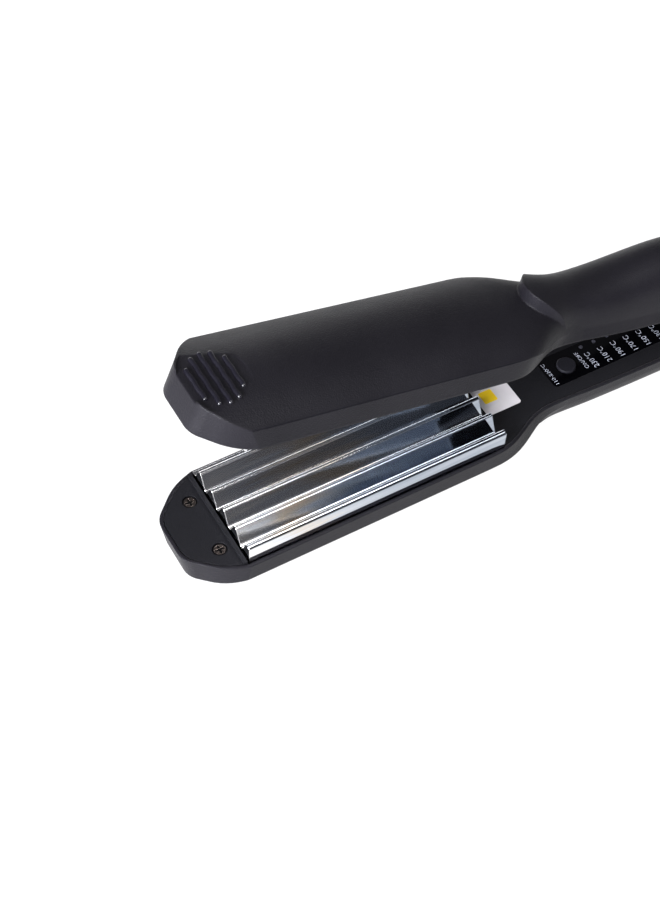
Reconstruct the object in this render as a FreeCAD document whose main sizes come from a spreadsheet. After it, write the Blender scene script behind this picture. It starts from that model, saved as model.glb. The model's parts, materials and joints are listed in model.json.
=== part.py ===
import FreeCAD, Part
import math
import os
import Sketcher
from FreeCAD import Placement, Rotation, Vector

# Hair crimper: two hinged arms with meshing corrugated heating plates.
# The part's frame has +X towards the hinge, +Z up and its origin on the surface that the
# lower arm lies on, below the middle of the whole length. Units are millimetres.
# Each arm is drawn in its own frame: x back from the front end of its heating plate, y across,
# and z outwards from the arm's inner face. Placements then lay the lower arm on its back and
# open the upper arm about the hinge.

os.makedirs("parts", exist_ok=True)
doc = FreeCAD.newDocument("HairCrimper")

# Driving dimensions
DIMENSIONS = [
    # Corrugated heating plates
    ("ridge_pitch", 9.0),
    ("ridge_count", 5),
    ("crest_flat", 1.3),
    ("crest_radius", 0.8),
    ("groove_depth", 6.3),
    ("plate_edge", 1.45),
    ("plate_length", 106.5),
    ("plate_stand", 8.3),
    ("plate_base", 3.5),
    ("mesh_gap", 0.8),
    ("plate_side_gap", 0.4),
    ("plate_end_gap", 0.6),
    ("rail_height", 4.2),
    ("rail_thickness", 1.4),
    ("rail_side", 9.2),
    ("rail_length", 78.0),
    # Outline of an arm
    ("rim_width", 1.4),
    ("ledge_width", 1.2),
    ("nose_length", 20.3),
    ("nose_front_half", 9.6),
    ("nose_front_radius", 9.0),
    ("nose_side_radius", 25.0),
    ("lower_nose_lean", 1.4),
    ("upper_nose_lean", 1.6),
    ("upper_nose_trim", 1.4),
    ("waist_lead", 0.0),
    ("waist_run", 23.0),
    ("waist_half_width", 13.5),
    ("handle_half_width", 15.5),
    # Section of an arm
    ("band_height", 8.3),
    ("lower_band_draft", 0.4),
    ("upper_band_draft", 1.4),
    ("nose_crown", 12.0),
    ("head_crown", 14.5),
    ("scoop_crown", 13.9),
    ("lower_cuff_crown", 14.8),
    ("upper_cuff_crown", 19.5),
    ("grip_low_crown", 17.1),
    ("grip_low_lead", 38.5),
    ("grip_high_crown", 24.5),
    ("grip_high_lead", 84.0),
    ("upper_handle_crown", 22.0),
    ("lower_handle_crown", 14.6),
    ("rest_flat", 0.5),
    ("cuff_lead", 11.5),
    ("cuff_sweep", 21.5),
    ("cuff_half_width", 13.5),
    ("cuff_tuck", 0.3),
    ("cuff_step", 0.1),
    ("shell_wall", 2.4),
    ("head_hollow", 6.2),
    ("handle_hollow", 4.6),
    ("trough_half_width", 9.2),
    ("trough_depth", 10.8),
    ("trough_front", 5.0),
    ("grip_hollow", 15.0),
    ("grip_hollow_lead", 66.0),
    # Thumb rest on the nose
    ("thumb_height", 11.7),
    ("thumb_slope", 8.3),
    ("thumb_half_length", 11.5),
    ("thumb_half_width", 15.5),
    ("thumb_back", -6.5),
    ("thumb_rib_pitch", 3.4),
    ("thumb_rib_count", 5),
    ("thumb_rib_radius", 0.6),
    ("thumb_rib_half_span", 11.8),
    ("thumb_rib_margin", 2.9),
    # Inner covers
    ("cover_thickness", 2.4),
    ("cover_gap", 0.2),
    ("nose_lip_height", 1.2),
    ("nose_lip_width", 1.4),
    ("nose_screw_ahead", 6.4),
    ("nose_screw_side", 11.6),
    ("screw_head_radius", 2.6),
    ("screw_head_height", 1.3),
    ("screw_sink", 0.3),
    ("screw_shank_radius", 1.1),
    ("screw_length", 7.0),
    ("screw_gap", 0.15),
    ("thread_gap", 0.05),
    ("cross_length", 3.4),
    ("cross_width", 0.8),
    ("cross_depth", 0.8),
    ("boss_radius", 3.0),
    ("cover_screw_side", 6.5),
    ("cover_screw_inset", 3.7),
    # Parts under the plates
    ("carrier_depth", 3.6),
    ("carrier_wall", 2.6),
    ("carrier_inset", 4.0),
    ("heater_length", 76.0),
    ("heater_width", 16.0),
    ("heater_thickness", 2.6),
    ("clip_thickness", 0.6),
    ("clip_bow", 0.6),
    ("clip_length", 62.0),
    ("clip_tab", 4.0),
    ("clip_slot_gap", 0.05),
    ("sensor_width", 2.4),
    ("sensor_height", 2.1),
    ("sensor_length", 6.0),
    ("sensor_side", 13.8),
    ("cutout_width", 3.4),
    ("cutout_height", 3.1),
    ("cutout_length", 11.0),
    # Control panel and electronics
    ("panel_lead", 33.0),
    ("panel_length", 76.0),
    ("panel_half_width", 7.2),
    ("panel_corner", 1.6),
    ("panel_thickness", 1.0),
    ("button_lead", 42.7),
    ("button_radius", 3.8),
    ("button_gap", 0.3),
    ("button_rise", 0.8),
    ("button_edge", 0.3),
    ("button_travel", 0.8),
    ("button_flange", 0.9),
    ("light_lead", 53.1),
    ("light_side", 5.2),
    ("light_pitch", 6.1),
    ("light_count", 7),
    ("light_radius", 0.8),
    ("light_gap", 0.1),
    ("board_lead", 34.5),
    ("board_length", 66.0),
    ("board_half_width", 8.6),
    ("board_depth", 6.2),
    ("board_thickness", 1.6),
    ("switch_side", 6.0),
    ("switch_height", 1.5),
    ("switch_plunger_radius", 1.7),
    ("switch_plunger_height", 0.4),
    ("lamp_side", 1.6),
    ("lamp_height", 0.7),
    ("triac_length", 10.0),
    ("triac_width", 4.6),
    ("triac_height", 2.9),
    ("capacitor_length", 13.0),
    ("capacitor_width", 5.0),
    ("capacitor_height", 3.2),
    ("post_radius", 1.5),
    ("post_pin_radius", 0.9),
    ("post_inset", 3.5),
    ("post_side", 6.6),
    ("post_pin_rise", 0.4),
    ("label_lead", 2.7),
    ("label_length", 15.0),
    ("label_width", 13.6),
    ("label_thickness", 0.15),
    # Hinge
    ("hinge_lead", 129.6),
    ("hinge_height", 21.4),
    ("open_angle", 13.0),
    ("hub_radius", 9.6),
    ("ear_thickness", 5.1),
    ("ear_inset", 0.2),
    ("tongue_gap", 0.6),
    ("knuckle_gap", 1.0),
    ("pin_radius", 2.5),
    ("pin_clearance", 0.05),
    ("cap_radius", 5.4),
    ("cap_thickness", 1.4),
    ("cap_gap", 0.1),
    ("spring_wire", 1.4),
    ("spring_radius", 5.2),
    ("spring_pocket", 2.7),
    ("spring_core", 3.9),
    ("spring_turns", 2.75),
    ("spring_room", 0.4),
    ("tang_reach", 8.6),
    ("tongue_inset", 0.4),
    ("heel_front", 2.5),
    ("heel_back", 7.0),
    ("washer_radius", 5.6),
    ("washer_thickness", 0.5),
    ("spigot_length", 12.0),
    ("spigot_gap", 0.25),
    ("lead_channel", 6.8),
    ("stop_height", 10.9),
    ("stop_gap", 0.1),
    ("bracket_corner", 4.0),
    # Cord inlet
    ("inlet_depth", 7.0),
    ("swivel_radius", 4.6),
    ("swivel_bore", 3.3),
    ("swivel_flange", 5.6),
    ("swivel_collar", 5.9),
    ("swivel_flange_width", 2.4),
    ("swivel_reach", 12.0),
    ("swivel_clearance", 0.08),
    ("inlet_wall", 4.5),
    ("flange_gap", 0.3),
    ("collar_gap", 0.4),
    ("keeper_width", 1.2),
]

sheet = doc.addObject("Spreadsheet::Sheet", "Sizes")
for row, (alias, value) in enumerate(DIMENSIONS, start=1):
    sheet.set("A%d" % row, alias)
    sheet.set("B%d" % row, str(value))
    sheet.setAlias("B%d" % row, alias)
doc.recompute()


def size(alias):
    """A driving dimension as a plain number, read from the sheet."""
    return float(sheet.get(alias))


# Sizes that follow from the driving ones, first the places that lie behind the plates
waist_start = size("plate_length") + size("waist_lead")
waist_end = waist_start + size("waist_run")
cuff_front = size("plate_length") + size("cuff_lead")
cuff_end = cuff_front + size("cuff_sweep")
grip_low = size("plate_length") + size("grip_low_lead")
grip_high = size("plate_length") + size("grip_high_lead")
panel_front = size("plate_length") + size("panel_lead")
button_back = size("plate_length") + size("button_lead")
light_back = size("plate_length") + size("light_lead")
board_front = size("plate_length") + size("board_lead")
label_front = size("plate_length") + size("label_lead")
hinge_back = size("plate_length") + size("hinge_lead")
plate_half_width = (size("ridge_count") - 0.5) * size("ridge_pitch") / 2 + size("plate_edge")
head_half_width = plate_half_width + size("plate_side_gap") + size("rim_width")
cavity_inset = size("rim_width") + size("ledge_width")
valley_height = -(size("plate_stand") - size("groove_depth"))
plate_bottom = valley_height + size("plate_base")
lower_depth = min(size("head_crown"), size("lower_handle_crown")) - size("rest_flat")
upper_face = lower_depth + 2 * size("plate_stand") - size("groove_depth") + size("mesh_gap")
pin_height = lower_depth + size("hinge_height")
shell_end = hinge_back - size("hub_radius") - size("knuckle_gap")
bracket_end = hinge_back + size("hub_radius")
ear_outside = size("handle_half_width") - size("ear_inset")
ear_inside = ear_outside - size("ear_thickness")
tongue_half_width = ear_inside - size("tongue_gap")
pin_hole = size("pin_radius") + size("pin_clearance")
overall_length = size("nose_length") + bracket_end + size("swivel_reach")
plate_front = size("nose_length") - overall_length / 2

# Where each arm's frame lies in the part's frame
lower_arm = Placement(Vector(plate_front, 0, lower_depth), Rotation(Vector(1, 0, 0), 180))
hinge_point = Vector(plate_front + hinge_back, 0, pin_height)
upper_arm = (
    Placement(hinge_point, Rotation(Vector(0, 1, 0), size("open_angle")))
    * Placement(Vector(plate_front, 0, upper_face) - hinge_point, Rotation())
)
ARMS = {"lower": lower_arm, "upper": upper_arm}
pin_in_upper = pin_height - upper_face

sub_parts = []


def keep(thing, label, placement):
    """Name a finished sub-part and put it where it belongs."""
    thing.Label = label
    thing.Placement = placement
    sub_parts.append(thing)
    return thing


def keep_shape(shape, label, placement):
    """Keep a shape made with Part's own functions as a sub-part."""
    thing = doc.addObject("Part::Feature", label)
    thing.Shape = shape
    return keep(thing, label, placement)


# Wires and simple solids


def rounded_wire(corners, height=0.0):
    """Closed wire at a height through (x, y, radius) corners, each rounded by its radius."""
    spots = []
    for index, (x, y, radius) in enumerate(corners):
        corner = Vector(x, y, height)
        before = Vector(corners[index - 1][0], corners[index - 1][1], height) - corner
        after = Vector(*corners[(index + 1) % len(corners)][:2], height) - corner
        before.normalize()
        after.normalize()
        if radius == 0:
            spots.append((corner, None, corner))
            continue
        half = before.getAngle(after) / 2
        reach = radius / math.tan(half)
        middle = (before + after).normalize() * (radius / math.sin(half) - radius)
        spots.append((corner + before * reach, corner + middle, corner + after * reach))
    edges = []
    for index, (start, middle, end) in enumerate(spots):
        if middle is not None:
            edges.append(Part.Arc(start, middle, end).toShape())
        following = spots[(index + 1) % len(spots)][0]
        edges.append(Part.LineSegment(end, following).toShape())
    return Part.Wire(edges)


def block(x_low, x_high, y_low, y_high, z_low, z_high):
    """Box between two corners."""
    corner = Vector(x_low, y_low, z_low)
    return Part.makeBox(x_high - x_low, y_high - y_low, z_high - z_low, corner)


def upright(radius, x, y, z_low, z_high):
    """Cylinder that stands along z."""
    return Part.makeCylinder(radius, z_high - z_low, Vector(x, y, z_low), Vector(0, 0, 1))


def crosswise(radius, x, z, y_low, y_high):
    """Cylinder that lies along y."""
    return Part.makeCylinder(radius, y_high - y_low, Vector(x, y_low, z), Vector(0, 1, 0))


def lengthwise(radius, z, x_low, x_high):
    """Cylinder that lies along x, on the centre line."""
    return Part.makeCylinder(radius, x_high - x_low, Vector(x_low, 0, z), Vector(1, 0, 0))


# Outline and section of an arm


def smooth_step(share):
    share = min(max(share, 0.0), 1.0)
    return share * share * (3 - 2 * share)


def between(table, x):
    """Value at x from (x, value) pairs, eased from each pair to the next."""
    if x <= table[0][0]:
        return table[0][1]
    for (x_a, value_a), (x_b, value_b) in zip(table, table[1:]):
        if x <= x_b:
            return value_a + (value_b - value_a) * smooth_step((x - x_a) / (x_b - x_a))
    return table[-1][1]


def half_width(x):
    """Half the arm's width at its inner face: a wide head, a waist and a handle."""
    waist = size("waist_half_width")
    if x <= waist_end:
        share = (x - waist_start) / (waist_end - waist_start)
        return head_half_width + (waist - head_half_width) * smooth_step(share)
    share = min((x - waist_end) / (shell_end - waist_end), 1.0)
    return waist + (size("handle_half_width") - waist) * (1 - (1 - share) ** 3)


HEAD_FULLNESS = 1.7
SCOOP_FULLNESS = 0.9
HANDLE_FULLNESS = {"lower": 0.55, "upper": 0.75}
HANDLE_BAND_SHARE = 0.55
BEYOND_NOSE = 6.0
DOME_POINTS = 9
DOME_LAG = 4.0
NOSE_DROP = 2.9
NOSE_SHOULDER = 0.44
HEAD_ROWS = 22
HANDLE_ROWS = 14
OUTLINE_ROWS = 33


def section(arm, x, band, crown, fullness, extra=0.0):
    """Control points of an arm's section at x: side bands that lean in, under a dome."""
    half = half_width(x) + extra
    dome_half = half_width(x - DOME_LAG) - size(arm + "_band_draft") + extra
    points = [Vector(x, half, 0)]
    for step in range(DOME_POINTS):
        angle = math.pi * step / (DOME_POINTS - 1)
        inside = 0 < step < DOME_POINTS - 1
        rise = (crown - band) * math.sin(angle) ** fullness if inside else 0.0
        points.append(Vector(x, dome_half * math.cos(angle), band + rise))
    points.append(Vector(x, -half, 0))
    return points


def knots(count, degree):
    """Evenly spaced knots, clamped at both ends, with their multiplicities."""
    inner = count - degree - 1
    return list(range(inner + 2)), [degree + 1] + [1] * inner + [degree + 1]


def spline_curve(points):
    """Smooth curve that a row of control points draws towards itself."""
    values, repeats = knots(len(points), 3)
    curve = Part.BSplineCurve()
    curve.buildFromPolesMultsKnots(points, repeats, values, False, 3)
    return curve.toShape()


def spline_face(rows, across):
    """Smooth face through rows of control points, straight across if across is 1."""
    u_values, u_repeats = knots(len(rows), 3)
    v_values, v_repeats = knots(len(rows[0]), across)
    surface = Part.BSplineSurface()
    surface.buildFromPolesMultsKnots(
        rows, u_repeats, v_repeats, u_values, v_values, False, False, 3, across)
    return surface.toShape()


def skin(sections):
    """Solid whose sides follow sections that stand at even steps along x."""
    faces = [
        spline_face([points[0:2] for points in sections], 1),
        spline_face([points[1:-1] for points in sections], 3),
        spline_face([points[-2:] for points in sections], 1),
        spline_face([[points[-1], points[0]] for points in sections], 1),
    ]
    for points in (sections[0], sections[-1]):
        faces.append(Part.Face(Part.Wire([
            Part.LineSegment(points[0], points[1]).toShape(),
            spline_curve(points[1:-1]),
            Part.LineSegment(points[-2], points[-1]).toShape(),
            Part.LineSegment(points[-1], points[0]).toShape(),
        ])))
    sewn = Part.makeShell(faces)
    sewn.sewShape()
    solid = Part.makeSolid(sewn)
    if solid.Volume < 0:
        solid.reverse()
    return solid


def evenly(low, high, count):
    return [low + (high - low) * step / (count - 1) for step in range(count)]


def head_skin(arm, rows):
    """The head and waist, up to inside the handle, with straight sides past the nose."""
    nose = -size("nose_length")
    start = waist_start
    end = waist_end
    crowns = [
        (nose - BEYOND_NOSE, size("nose_crown") - 0.5),
        (nose + 35, size("head_crown")),
        (start - 8, size("head_crown")),
        (cuff_front - 2, size("scoop_crown")),
    ]
    bands = [(start, size("band_height")), (end, size("band_height") * HANDLE_BAND_SHARE)]
    fullnesses = [(start, HEAD_FULLNESS), (cuff_front - 4, SCOOP_FULLNESS)]
    sections = []
    for x in evenly(nose - BEYOND_NOSE, cuff_end + 12, rows):
        # Behind the cuff the waist runs on inside the handle, just under its surface
        hidden = -2 * size("cuff_tuck") * smooth_step((x - cuff_end) / 8)
        sections.append(section(arm, x, between(bands, x), between(crowns, x),
                                between(fullnesses, x), hidden))
    return skin(sections)


def handle_crowns(arm):
    """Heights of the handle's dome along x, as (x, height) pairs."""
    if arm == "lower":
        crown = size("lower_handle_crown")
        return [(cuff_front, size("lower_cuff_crown")), (grip_low, crown)]
    return [
        (cuff_front, size("upper_cuff_crown")),
        (grip_low, size("grip_low_crown")),
        (grip_high, size("grip_high_crown")),
        (shell_end, size("upper_handle_crown")),
    ]


def handle_skin(arm, front, end, rows):
    """The handle, whose sides come out of the waist's sides where the cuff ends."""
    crowns = handle_crowns(arm)
    band = size("band_height") * HANDLE_BAND_SHARE
    sections = []
    tuck = size("cuff_tuck")
    for x in evenly(front, end, rows):
        proud = -tuck + (tuck + size("cuff_step")) * smooth_step((x - cuff_end) / 10)
        sections.append(section(arm, x, band, between(crowns, x), HANDLE_FULLNESS[arm], proud))
    return skin(sections)


def nose_corners(arm, height, inset):
    """Corners of the nose outline at a height: its front leans back as it rises."""
    lean = size(arm + "_nose_lean") * height / size("band_height")
    trim = size("upper_nose_trim") if arm == "upper" else 0.0
    front = -size("nose_length") + trim + lean + inset
    front_half = size("nose_front_half") - inset * 0.4
    run = size("nose_length") * NOSE_SHOULDER
    shoulder = -run + 0.55 * inset
    shoulder_half = head_half_width - NOSE_DROP - 0.8 * inset
    far = 60.0
    far_half = shoulder_half + (far - shoulder) * NOSE_DROP / run
    rear = bracket_end + far
    side = size("nose_side_radius")
    return [
        (front, -front_half, size("nose_front_radius")),
        (shoulder, -shoulder_half, side),
        (far, -far_half, 0),
        (rear, -far_half, 0),
        (rear, far_half, 0),
        (far, far_half, 0),
        (shoulder, shoulder_half, side),
        (front, front_half, size("nose_front_radius")),
    ]


def nose_prism(arm, inset, low, high):
    """Everything behind the leaning nose band."""
    wires = [rounded_wire(nose_corners(arm, height, inset), height) for height in (low, high)]
    return Part.makeLoft(wires, True, True)


def outline_prism(arm, inset, low, high, x_low, x_high):
    """Plate with the arm's outline at its inner face, inset and cut to a stretch of x."""
    right = []
    for x in evenly(-size("nose_length") - BEYOND_NOSE, shell_end + 12, OUTLINE_ROWS):
        right.append(Vector(x, half_width(x) - inset, low))
    left = [Vector(spot.x, -spot.y, low) for spot in reversed(right)]
    wire = Part.Wire([
        spline_curve(right),
        Part.LineSegment(right[-1], left[0]).toShape(),
        spline_curve(left),
        Part.LineSegment(left[-1], right[0]).toShape(),
    ])
    plate = Part.Face(wire).extrude(Vector(0, 0, high - low))
    wide = head_half_width + 1
    plate = plate.common(block(x_low, x_high, -wide, wide, low, high))
    if x_low > 0:
        return plate
    nose_face = Part.Face(rounded_wire(nose_corners(arm, 0, inset), low))
    return plate.common(nose_face.extrude(Vector(0, 0, high - low)))


# Moulded shells


def cuff_front_cut():
    """Everything behind the curved front edge of the handle's cuff."""
    half = size("cuff_half_width")
    wide = size("handle_half_width") + 1
    tall = size("upper_handle_crown") + 10
    centre = Vector(cuff_end, 0, -5)
    ellipse = Part.Ellipse(Vector(cuff_front, 0, -5), Vector(cuff_end, half, -5), centre)
    curve = Part.Arc(ellipse, 0, 2 * math.pi).toShape()
    cut = Part.Face(Part.Wire([curve])).extrude(Vector(0, 0, tall + 5))
    return cut.fuse(block(cuff_end, bracket_end + 20, -wide, wide, -5, tall))


def outer_form(arm):
    """The outside of an arm as one solid."""
    nose = nose_prism(arm, 0, -3, size("head_crown") + 6)
    head = head_skin(arm, HEAD_ROWS).common(nose)
    handle = handle_skin(arm, cuff_front - 4, shell_end, HANDLE_ROWS)
    return head.fuse(handle.common(cuff_front_cut()))


def inner_form(arm):
    """The hollow of an arm: a shallow one along its outline, and a deeper trough in it."""
    wall = size("shell_wall")
    ahead = -size("nose_length") - BEYOND_NOSE
    split = size("plate_length") + size("plate_end_gap")
    rear = shell_end - wall
    head = outline_prism(arm, cavity_inset, -3, size("head_hollow"), ahead, split)
    handle = outline_prism(arm, cavity_inset, -3, size("handle_hollow"), split - 1, rear)
    depth = size("trough_depth")
    half = size("trough_half_width")
    trough = block(size("trough_front"), rear, -half, half, -3, depth)
    hollow = head.fuse(handle).fuse(trough)
    if arm == "upper":
        front = size("plate_length") + size("grip_hollow_lead")
        hollow = hollow.fuse(block(front, rear, -half, half, -3, size("grip_hollow")))
    return hollow


def nose_screw_spots():
    side = size("nose_screw_side")
    return [(-size("nose_screw_ahead"), -side), (-size("nose_screw_ahead"), side)]


def cover_screw_spots():
    back = shell_end - size("shell_wall") - size("cover_screw_inset")
    return [(back, -size("cover_screw_side")), (back, size("cover_screw_side"))]


def screw_hole(x, y, low, high):
    """Hole that a cover screw's shank fills."""
    return upright(size("screw_shank_radius") + size("thread_gap"), x, y, low, high)


def with_screw_bosses(shell, outside, spots):
    """The shell with bosses that the cover screws bite into, up from its outer wall."""
    top = size("cover_thickness")
    for x, y in spots:
        boss = upright(size("boss_radius"), x, y, top, size("grip_high_crown"))
        shell = shell.fuse(boss.common(outside))
    for x, y in spots:
        shell = shell.cut(screw_hole(x, y, top - 1, top + size("screw_length")))
    return shell


def thumb_rest(outside):
    """Sloping oval rest with raised ribs, cut into the nose."""
    back = size("thumb_back")
    tall = 10.0
    oval = Part.Ellipse(Vector(back, size("thumb_half_width"), 0),
                        Vector(back + size("thumb_half_length"), 0, 0), Vector(back, 0, 0))
    cut = Part.Face(Part.Wire([oval.toShape()])).extrude(Vector(0, 0, tall))
    # The oval stands on the rest's own plane, which slopes down to the nose
    cut.rotate(Vector(back, 0, 0), Vector(0, 1, 0), -size("thumb_slope"))
    cut.translate(Vector(0, 0, size("thumb_height")))
    shape = outside.cut(cut)
    middle = (size("thumb_rib_count") - 1) / 2
    for index in range(int(size("thumb_rib_count"))):
        away = (index - middle) * size("thumb_rib_pitch")
        reach = size("thumb_half_length") - size("thumb_rib_margin")
        half = size("thumb_rib_half_span") * math.sqrt(1 - (away / reach) ** 2)
        z = size("thumb_height") + away * math.tan(math.radians(size("thumb_slope")))
        shape = shape.fuse(crosswise(size("thumb_rib_radius"), back + away, z, -half, half))
    return shape


def arm_shell(arm, spots):
    """Hollow moulding of an arm with its rim, ledge and screw bosses."""
    outside = outer_form(arm)
    shell = outside.cut(inner_form(arm))
    ahead = -size("nose_length") - BEYOND_NOSE
    rear = shell_end - size("shell_wall")
    rebate = outline_prism(arm, size("rim_width"), -3, size("cover_thickness"), ahead, rear)
    shell = shell.cut(rebate)
    # The rim thins beside the rear corners of the plate
    gap = size("plate_side_gap") / 2
    wide = plate_half_width + gap
    room = block(-gap, size("plate_length") + gap, -wide, wide, -3, size("cover_thickness"))
    shell = shell.cut(room)
    return with_screw_bosses(shell, outside, spots)


def one_solid(shape):
    """The single solid that a shape holds."""
    return shape.Solids[0]


def spigot_form(gap):
    """The bracket's spigot in the lower handle, or with a gap of 0 the room it has."""
    half = size("trough_half_width") - gap
    low = size("cover_thickness") + size("spigot_gap") / 2
    high = size("trough_depth") - gap
    front = shell_end - size("spigot_length")
    return block(front, shell_end + 1, -half, half, low, high)


def make_lower_shell():
    shell = arm_shell("lower", nose_screw_spots())
    wide = head_half_width + 5
    floor = block(-40, shell_end + 5, -wide, wide, lower_depth, lower_depth + 10)
    # The rear end is open for the hinge bracket's spigot
    shell = shell.cut(floor).cut(spigot_form(0))
    keep_shape(one_solid(shell), "lower_shell", lower_arm)


def spring_ring(low, high):
    """Ring-shaped room for the hinge spring, round the pin's axis along y."""
    radius = size("spring_radius") + size("spring_wire") / 2 + size("spring_room")
    ring = crosswise(radius, 0, 0, low, high)
    return ring.cut(crosswise(size("spring_core"), 0, 0, low, high))


def tang_slot(low, high, turn):
    """Slot for an end of the hinge spring, turned about the pin from straight ahead."""
    half = size("spring_wire") / 2 + size("spring_room") / 2
    slot = block(-size("tang_reach"), -size("spring_core") - 0.5, low, high, -half, half)
    return slot.rotate(Vector(0, 0, 0), Vector(0, 1, 0), turn)


def make_upper_shell():
    shell = arm_shell("upper", nose_screw_spots() + cover_screw_spots())
    shell = thumb_rest(shell)
    # A tongue at the rear turns on the hinge pin between the bracket's ears
    back = hinge_back
    hub = size("hub_radius") - size("tongue_inset")
    wide = tongue_half_width
    front = shell_end - size("shell_wall")
    tongue = block(front, back, -wide, wide, pin_in_upper - hub, pin_in_upper + hub)
    tongue = tongue.fuse(crosswise(hub, back, pin_in_upper, -wide, wide))
    # Its heel comes down on the bracket's stop when the arms are open
    heel_low = -size("stop_height") + size("stop_gap")
    heel = block(size("heel_front"), size("heel_back"), -wide, wide, heel_low, -2)
    heel.rotate(Vector(0, 0, 0), Vector(0, 1, 0), -size("open_angle"))
    heel.translate(Vector(back, 0, pin_in_upper))
    tongue = tongue.fuse(heel)
    rear = bracket_end + 8
    tongue = tongue.common(handle_skin("upper", shell_end - 20, rear, 6))
    tongue = tongue.cut(crosswise(pin_hole, back, pin_in_upper, -wide - 1, wide + 1))
    depth = size("spring_pocket")
    at_pin = Vector(back, 0, pin_in_upper)
    pocket = spring_ring(wide - depth, wide + 1).translated(at_pin)
    tongue = tongue.cut(pocket)
    for share in (0, 0.5, 1):
        slot = tang_slot(wide - depth, wide + 1, -share * size("open_angle"))
        tongue = tongue.cut(slot.translated(at_pin))
    keep_shape(one_solid(shell.fuse(tongue)), "upper_shell", upper_arm)


# Features of PartDesign bodies


def new_body(label):
    body = doc.addObject("PartDesign::Body", label)
    body.AllowCompound = True
    return body


def draw(sketch, loops):
    """Draw closed loops: a list of (x, y, radius) corners, or one (x, y, radius) circle."""
    for loop in loops:
        if isinstance(loop, tuple):
            x, y, radius = loop
            circle = Part.Circle(Vector(x, y, 0), Vector(0, 0, 1), radius)
            sketch.addGeometry(circle, False)
            continue
        for edge in rounded_wire(loop).Edges:
            start, end = edge.valueAt(edge.FirstParameter), edge.valueAt(edge.LastParameter)
            if edge.Curve.TypeId == "Part::GeomLine":
                sketch.addGeometry(Part.LineSegment(start, end), False)
                continue
            middle = edge.valueAt((edge.FirstParameter + edge.LastParameter) / 2)
            sketch.addGeometry(Part.Arc(start, middle, end), False)


def new_sketch(body, name, plane, loops, across=(0, 0), offset="0"):
    """Sketch on one of a body's origin planes, moved by a formula along its normal."""
    sketch = body.newObject("Sketcher::SketchObject", name)
    for feature in body.Origin.OriginFeatures:
        if feature.Role == plane:
            sketch.AttachmentSupport = [(feature, "")]
    sketch.MapMode = "FlatFace"
    sketch.AttachmentOffset = Placement(Vector(across[0], across[1], 0), Rotation())
    sketch.setExpression(".AttachmentOffset.Base.z", offset)
    draw(sketch, loops)
    return sketch


def pad(body, name, plane, offset, loops, length):
    """Pad drawn loops along their plane's normal, from one formula's height by another's."""
    sketch = new_sketch(body, name + "Outline", plane, loops, offset=offset)
    feature = body.newObject("PartDesign::Pad", name)
    feature.Profile = sketch
    feature.setExpression("Length", length)
    body.Tip = feature
    doc.recompute()
    return feature


def pocket(body, name, plane, offset, loops, length):
    """Cut drawn loops against their plane's normal, from one formula's height by another's."""
    volume = body.Shape.Volume
    sketch = new_sketch(body, name + "Outline", plane, loops, offset=offset)
    feature = body.newObject("PartDesign::Pocket", name)
    feature.Profile = sketch
    feature.setExpression("Length", length)
    body.Tip = feature
    doc.recompute()
    if body.Shape.Volume >= volume:
        raise ValueError("%s removed nothing" % name)
    return feature


def revolve(body, name, plane, across, corners, axis):
    """Turn a drawn profile all the way round one of its sketch's own axes."""
    sketch = new_sketch(body, name + "Outline", plane, [corners], across)
    feature = body.newObject("PartDesign::Revolution", name)
    feature.Profile = sketch
    feature.ReferenceAxis = (sketch, [axis])
    feature.Angle = 360
    body.Tip = feature
    doc.recompute()
    return feature


def rectangle(x_low, x_high, y_low, y_high, radius=0.0):
    return [(x_low, y_low, radius), (x_high, y_low, radius),
            (x_high, y_high, radius), (x_low, y_high, radius)]


# Heating plates and what lies under them


def corrugation():
    """The plate across its width: a flat back, and ridges that the other plate meshes with."""
    flat = size("crest_flat") / 2
    round_off = size("crest_radius")
    half_pitch = size("ridge_pitch") / 2
    crest = -size("plate_stand")
    edge = plate_half_width
    y = -edge + size("plate_edge")
    corners = [(-edge, valley_height, 0), (y + flat, valley_height, round_off)]
    count = int(size("ridge_count"))
    for ridge in range(count):
        top = y + half_pitch
        corners += [(top - flat, crest, round_off), (top + flat, crest, round_off)]
        y = top + half_pitch
        if ridge < count - 1:
            corners += [(y - flat, valley_height, round_off),
                        (y + flat, valley_height, round_off)]
    bevel = edge - (top + flat)
    corners += [(edge, crest + bevel, 0), (edge, plate_bottom, 0), (-edge, plate_bottom, 0)]
    return corners


def mirrored(y_low, y_high, z_low, z_high):
    """The same rectangle on both sides of the centre line."""
    return [rectangle(y_low, y_high, z_low, z_high), rectangle(-y_high, -y_low, z_low, z_high)]


heater_top = plate_bottom + size("heater_thickness")
clip_end = heater_top + size("clip_bow")
plate_middle = size("plate_length") / 2
clip_half = size("clip_length") / 2
clip_tab_out = size("rail_side") + size("rail_thickness") + 0.3


def clip_tabs(gap):
    """The four corners' tabs of the heater clip as two strips across the rails."""
    near = clip_half - size("clip_tab") - gap
    far = clip_half + gap
    return [(plate_middle - far, plate_middle - near), (plate_middle + near, plate_middle + far)]


def make_heating_plate(arm):
    body = new_body(arm + "_heating_plate")
    pad(body, "Corrugations", "YZ_Plane", "0", [corrugation()], "Sizes.plate_length")
    side = size("rail_side")
    rails = mirrored(side, side + size("rail_thickness"), plate_bottom - 0.5,
                     plate_bottom + size("rail_height"))
    pad(body, "Rails", "YZ_Plane", "(Sizes.plate_length - Sizes.rail_length) / 2", rails,
        "Sizes.rail_length")
    gap = size("clip_slot_gap")
    slots = [rectangle(low, high, clip_end - gap, clip_end + size("clip_thickness") + gap)
             for low, high in clip_tabs(gap)]
    pocket(body, "ClipSlots", "XZ_Plane", "Sizes.rail_side * 2", slots, "Sizes.rail_side * 4")
    keep(body, arm + "_heating_plate", ARMS[arm])


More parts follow.
